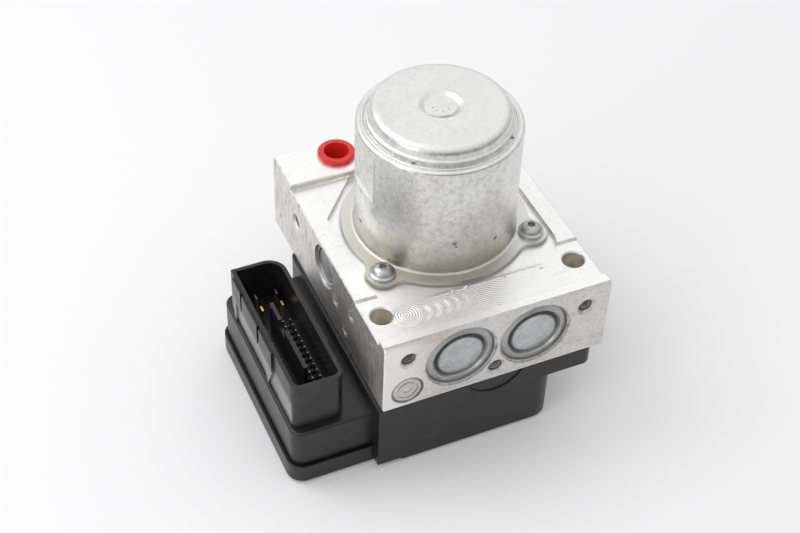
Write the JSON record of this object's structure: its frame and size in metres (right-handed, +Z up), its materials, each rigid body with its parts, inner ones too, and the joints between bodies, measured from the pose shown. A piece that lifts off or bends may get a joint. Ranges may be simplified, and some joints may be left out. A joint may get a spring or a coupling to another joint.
{
  "type": "abs brake module",
  "caption": "Anti-lock brake unit: round pump motor on a drilled aluminium valve block, with a black plastic control unit below and a deep multi-pin socket at its side.",
  "frame": {"origin": "on the motor's axis, at the underside of the control unit's cover, which the module stands on", "axes": "+Z up along the motor's axis, +X to the right seen from the face with the two large caps, +Y to the rear"},
  "size_m": [0.1373, 0.1224, 0.13],
  "materials": {
    "block_metal": "sawn, milled and tumbled aluminium, dull",
    "zinc_steel": "zinc plated drawn steel, slightly yellow green at the foot",
    "screw_steel": "zinc plated screw",
    "cap_steel": "grey pressed steel",
    "bright_steel": "turned or ground steel",
    "spring_steel": "spring wire",
    "laminations": "stacked steel sheets",
    "ferrite": "sintered magnet",
    "copper": "enamelled copper wire",
    "carbon": "pressed carbon",
    "black_plastic": "black moulded plastic, semi-matt",
    "inner_plastic": "moulded plastic",
    "red_plastic": "red moulded plastic",
    "seal_rubber": "black rubber",
    "board_green": "coated circuit board",
    "gold_pin": "plated contact",
    "tin_pin": "tin plated contact"
  },
  "bodies": {
    "module": {"valve_block": "block_metal", "motor_can": "zinc_steel", "motor_screws": "screw_steel", "motor_magnets": "ferrite", "main_bearing": "bright_steel", "top_bearing": "bright_steel", "end_plate": "bright_steel", "brush_plate": "inner_plastic", "brushes": "carbon", "motor_plug": "inner_plastic", "motor_pins": "gold_pin", "coil_yokes": "cap_steel", "coil_windings": "copper", "coil_pins": "gold_pin", "inlet_valves": "bright_steel", "outlet_valves": "bright_steel", "ball_plugs": "bright_steel", "gallery_plug": "block_metal", "port_plug": "red_plastic", "control_housing": "black_plastic", "control_cover": "black_plastic", "circuit_board": "board_green", "signal_pins": "tin_pin", "power_blades": "gold_pin", "unit_screws": "screw_steel", "pump_barrel_left": "bright_steel", "pump_spring_left": "spring_steel", "pump_cap_left": "cap_steel", "accumulator_cap_left": "cap_steel", "accumulator_spring_left": "spring_steel", "pump_barrel_right": "bright_steel", "pump_spring_right": "spring_steel", "pump_cap_right": "cap_steel", "accumulator_cap_right": "cap_steel", "accumulator_spring_right": "spring_steel"},
    "rotor": {"armature_core": "laminations", "armature_winding": "copper", "commutator": "copper", "motor_shaft": "bright_steel", "eccentric_bearing": "bright_steel"},
    "plunger_left": {"pump_plunger_left": "bright_steel"},
    "piston_left": {"accumulator_piston_left": "bright_steel", "accumulator_seal_left": "seal_rubber"},
    "plunger_right": {"pump_plunger_right": "bright_steel"},
    "piston_right": {"accumulator_piston_right": "bright_steel", "accumulator_seal_right": "seal_rubber"},
    "inlet_valve_1": {"inlet_armature_1": "bright_steel"},
    "inlet_valve_2": {"inlet_armature_2": "bright_steel"},
    "inlet_valve_3": {"inlet_armature_3": "bright_steel"},
    "inlet_valve_4": {"inlet_armature_4": "bright_steel"},
    "outlet_valve_1": {"outlet_armature_1": "bright_steel"},
    "outlet_valve_2": {"outlet_armature_2": "bright_steel"},
    "outlet_valve_3": {"outlet_armature_3": "bright_steel"},
    "outlet_valve_4": {"outlet_armature_4": "bright_steel"}
  },
  "joints": [
    {"name": "rotor_spin", "type": "hinge", "parent": "module", "child": "rotor", "pos_m": [0, 0, 0.1], "axis": [0, 0, 1], "continuous": true},
    {"name": "plunger_slide_left", "type": "slide", "parent": "module", "child": "plunger_left", "axis": [1, 0, 0], "range_m": [0, 0.00175], "stiffness_N_per_m": 2000, "deforming": ["pump_spring_left"]},
    {"name": "plunger_slide_right", "type": "slide", "parent": "module", "child": "plunger_right", "axis": [1, 0, 0], "range_m": [-0.00175, 0], "stiffness_N_per_m": 2000, "deforming": ["pump_spring_right"]},
    {"name": "piston_slide_left", "type": "slide", "parent": "module", "child": "piston_left", "axis": [0, -1, 0], "range_m": [0, 0.009], "stiffness_N_per_m": 3000, "springref_m": -0.004, "deforming": ["accumulator_spring_left"]},
    {"name": "piston_slide_right", "type": "slide", "parent": "module", "child": "piston_right", "axis": [0, -1, 0], "range_m": [0, 0.009], "stiffness_N_per_m": 3000, "springref_m": -0.004, "deforming": ["accumulator_spring_right"]},
    {"name": "inlet_valve_slide_1", "type": "slide", "parent": "module", "child": "inlet_valve_1", "axis": [0, 0, 1], "range_m": [0, 0.0003], "stiffness_N_per_m": 800, "springref_m": -0.001},
    {"name": "inlet_valve_slide_2", "type": "slide", "parent": "module", "child": "inlet_valve_2", "axis": [0, 0, 1], "range_m": [0, 0.0003], "stiffness_N_per_m": 800, "springref_m": -0.001},
    {"name": "inlet_valve_slide_3", "type": "slide", "parent": "module", "child": "inlet_valve_3", "axis": [0, 0, 1], "range_m": [0, 0.0003], "stiffness_N_per_m": 800, "springref_m": -0.001},
    {"name": "inlet_valve_slide_4", "type": "slide", "parent": "module", "child": "inlet_valve_4", "axis": [0, 0, 1], "range_m": [0, 0.0003], "stiffness_N_per_m": 800, "springref_m": -0.001},
    {"name": "outlet_valve_slide_1", "type": "slide", "parent": "module", "child": "outlet_valve_1", "axis": [0, 0, -1], "range_m": [0, 0.0003], "stiffness_N_per_m": 800, "springref_m": -0.001},
    {"name": "outlet_valve_slide_2", "type": "slide", "parent": "module", "child": "outlet_valve_2", "axis": [0, 0, -1], "range_m": [0, 0.0003], "stiffness_N_per_m": 800, "springref_m": -0.001},
    {"name": "outlet_valve_slide_3", "type": "slide", "parent": "module", "child": "outlet_valve_3", "axis": [0, 0, -1], "range_m": [0, 0.0003], "stiffness_N_per_m": 800, "springref_m": -0.001},
    {"name": "outlet_valve_slide_4", "type": "slide", "parent": "module", "child": "outlet_valve_4", "axis": [0, 0, -1], "range_m": [0, 0.0003], "stiffness_N_per_m": 800, "springref_m": -0.001}
  ]
}
